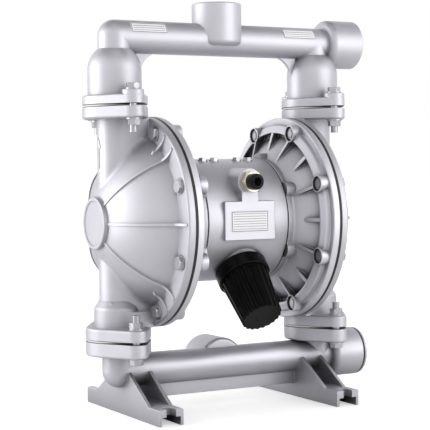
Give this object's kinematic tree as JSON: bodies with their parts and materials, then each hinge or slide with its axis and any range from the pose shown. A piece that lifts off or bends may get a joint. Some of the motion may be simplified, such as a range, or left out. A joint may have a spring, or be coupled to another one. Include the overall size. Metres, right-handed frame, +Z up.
{
  "type": "air operated double diaphragm pump",
  "caption": "Air operated double diaphragm pump with two domed liquid chambers, pipe headers above and below on slotted feet, a front air fitting and a slanted silencer.",
  "frame": {"origin": "centre of the feet's pattern on the floor, under the middle of the diaphragm shaft", "axes": "+X along the diaphragm shaft towards the headers' plugged ends, -Y to the front with the air fitting and silencer, +Z up"},
  "size_m": [0.4322, 0.288, 0.5637],
  "materials": {
    "cast_aluminium": "shot-blasted casting, unpainted",
    "machined_aluminium": "turned",
    "steel_fasteners": "stainless steel",
    "steel_shaft": "ground stainless steel",
    "black_rubber": "moulded black rubber",
    "white_ptfe": "smooth white PTFE",
    "bronze": "plain bearing bronze",
    "silencer_plastic": "black moulded plastic",
    "porous_plastic": "porous polyethylene",
    "nickel_brass": "nickel plated",
    "black_plastic": "black moulded plastic",
    "label_foil": "satin foil, blank",
    "sticker": "thin gloss film, blank"
  },
  "bodies": {
    "housing": {"air_cap_left": "cast_aluminium", "air_cap_right": "cast_aluminium", "air_cap_screws": "steel_fasteners", "body_gaskets": "black_rubber", "cap_bolts_left": "steel_fasteners", "cap_bolts_right": "steel_fasteners", "cap_nuts_left": "steel_fasteners", "cap_nuts_right": "steel_fasteners", "center_body": "cast_aluminium", "end_cap_screws": "steel_fasteners", "fitting_body": "nickel_brass", "fitting_sleeve": "black_plastic", "fluid_cap_left": "cast_aluminium", "fluid_cap_right": "cast_aluminium", "inlet_end_plug": "cast_aluminium", "inlet_manifold": "cast_aluminium", "inlet_plug_gasket": "black_rubber", "joint_bolts": "steel_fasteners", "joint_gaskets": "black_rubber", "joint_nuts": "steel_fasteners", "joint_washers": "steel_fasteners", "name_plate": "label_foil", "outlet_end_plug": "cast_aluminium", "outlet_manifold": "cast_aluminium", "passage_plugs": "steel_fasteners", "pilot_bushings": "bronze", "shaft_bushings": "bronze", "shaft_seals": "black_rubber", "silencer_canister": "silencer_plastic", "silencer_collar": "silencer_plastic", "silencer_element": "porous_plastic", "tube_labels": "sticker", "valve_block": "cast_aluminium", "valve_block_screws": "steel_fasteners", "valve_end_caps": "cast_aluminium", "valve_gasket": "black_rubber", "valve_seat_inlet_left": "white_ptfe", "valve_seat_inlet_right": "white_ptfe", "valve_seat_outlet_left": "white_ptfe", "valve_seat_outlet_right": "white_ptfe"},
    "shaft": {"diaphragm_shaft": "steel_shaft", "inner_plate_left": "machined_aluminium", "inner_plate_right": "machined_aluminium", "outer_plate_left": "machined_aluminium", "outer_plate_right": "machined_aluminium", "diaphragm_left": "black_rubber", "diaphragm_right": "black_rubber"},
    "pilot": {"pilot_rod": "steel_shaft"},
    "spool": {"valve_spool": "machined_aluminium"},
    "release": {"release_collar": "black_plastic"},
    "ball_inlet_left": {"check_ball_inlet_left": "black_rubber"},
    "ball_inlet_right": {"check_ball_inlet_right": "black_rubber"},
    "ball_outlet_left": {"check_ball_outlet_left": "black_rubber"},
    "ball_outlet_right": {"check_ball_outlet_right": "black_rubber"}
  },
  "joints": [
    {"name": "shaft_slide", "type": "slide", "parent": "housing", "child": "shaft", "axis": [1, 0, 0], "range_m": [-0.011, 0.011], "deforming": ["diaphragm_left", "diaphragm_right"]},
    {"name": "pilot_slide", "type": "slide", "parent": "housing", "child": "pilot", "axis": [1, 0, 0], "range_m": [-0.006, 0.006]},
    {"name": "spool_slide", "type": "slide", "parent": "housing", "child": "spool", "axis": [1, 0, 0], "range_m": [-0.008, 0.008]},
    {"name": "release_slide", "type": "slide", "parent": "housing", "child": "release", "axis": [0, 1, 0], "range_m": [0, 0.0015], "stiffness_N_per_m": 5000},
    {"name": "ball_inlet_left_lift", "type": "slide", "parent": "housing", "child": "ball_inlet_left", "axis": [0, 0, 1], "range_m": [0, 0.01]},
    {"name": "ball_inlet_right_lift", "type": "slide", "parent": "housing", "child": "ball_inlet_right", "axis": [0, 0, 1], "range_m": [0, 0.01]},
    {"name": "ball_outlet_left_lift", "type": "slide", "parent": "housing", "child": "ball_outlet_left", "axis": [0, 0, 1], "range_m": [0, 0.01]},
    {"name": "ball_outlet_right_lift", "type": "slide", "parent": "housing", "child": "ball_outlet_right", "axis": [0, 0, 1], "range_m": [0, 0.01]}
  ],
  "couplings": [
    {"joint": "pilot_slide", "follows": "shaft_slide", "ratio": 0.5454}
  ]
}
